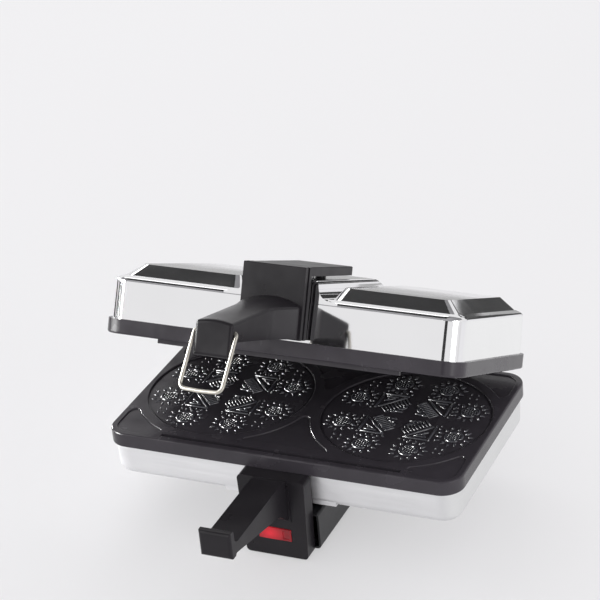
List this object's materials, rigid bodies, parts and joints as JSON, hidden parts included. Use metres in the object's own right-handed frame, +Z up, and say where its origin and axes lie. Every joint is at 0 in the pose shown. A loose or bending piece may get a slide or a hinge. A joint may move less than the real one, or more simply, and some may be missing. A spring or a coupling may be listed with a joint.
{
  "type": "electric krumkake iron",
  "caption": "Electric wafer iron: hinged twin-disc baking plates between a chrome lid and a steel base pan, with moulded handles and a wire latch.",
  "frame": {"origin": "middle of the outline's box, at the height of the table, with the lid standing open at rest", "axes": "+X to the right along the front edge, +Y from the handles to the hinge, +Z up from the table"},
  "size_m": [0.278, 0.2908, 0.2245],
  "materials": {
    "nonstick_plate": "black non-stick coat on cast aluminium",
    "satin_pan": "satin stamped steel",
    "chrome_pan": "bright chrome plated stamped steel",
    "phenolic": "black phenolic moulding, semi-gloss",
    "black_steel": "black painted folded steel",
    "black_rubber": "black rubber",
    "black_sleeve": "black heat-proof sleeve",
    "bright_wire": "bright drawn steel wire",
    "lead_insulation": "light silicone insulated leads",
    "ceramic": "glazed ceramic",
    "brass": "brass",
    "red_lens": "red translucent plastic",
    "lamp_glass": "neon lamp glass",
    "element_sheath": "annealed steel sheath",
    "shield_sheet": "plain aluminised sheet",
    "zinc_steel": "zinc plated steel"
  },
  "bodies": {
    "base": {"lower_plate": "nonstick_plate", "lower_pan": "satin_pan", "front_leg_handle": "phenolic", "rear_leg": "phenolic", "base_channel": "black_steel", "rubber_feet": "black_rubber", "hinge_pin": "bright_wire", "hinge_clips": "zinc_steel", "hinge_cable": "black_sleeve", "shield_spacers": "zinc_steel", "tie_screws": "zinc_steel", "channel_bolts": "zinc_steel", "channel_nuts": "zinc_steel", "shelf_screws": "zinc_steel", "handle_screws": "zinc_steel", "thermostat": "ceramic", "thermostat_screws": "zinc_steel", "thermal_fuse": "zinc_steel", "terminal_block": "ceramic", "terminal_inserts": "brass", "indicator_lens": "red_lens", "indicator_lamp": "lamp_glass", "lamp_holder": "ceramic", "lower_leads": "lead_insulation", "cord_grommet": "black_rubber", "lower_element": "element_sheath", "lower_clamps": "zinc_steel", "lower_clamp_screws": "zinc_steel", "lower_shield": "shield_sheet"},
    "lid": {"upper_plate": "nonstick_plate", "upper_pan": "chrome_pan", "upper_handle": "phenolic", "lid_bracket": "zinc_steel", "bracket_rivets": "zinc_steel", "lid_straps": "zinc_steel", "strap_screws": "zinc_steel", "beam_screws": "zinc_steel", "upper_leads": "lead_insulation", "upper_element": "element_sheath", "upper_clamps": "zinc_steel", "upper_clamp_screws": "zinc_steel", "upper_shield": "shield_sheet"},
    "bail": {"latch_bail": "bright_wire"}
  },
  "joints": [
    {"name": "lid_hinge", "type": "hinge", "parent": "base", "child": "lid", "pos_m": [0, 0.12905, 0.0845], "axis": [-1, 0, 0], "range_deg": [-26, 64], "deforming": ["hinge_cable"]},
    {"name": "bail_hinge", "type": "hinge", "parent": "lid", "child": "bail", "pos_m": [0, -0.10727, 0.21589], "axis": [-1, 0, 0], "range_deg": [-23, 137]}
  ]
}
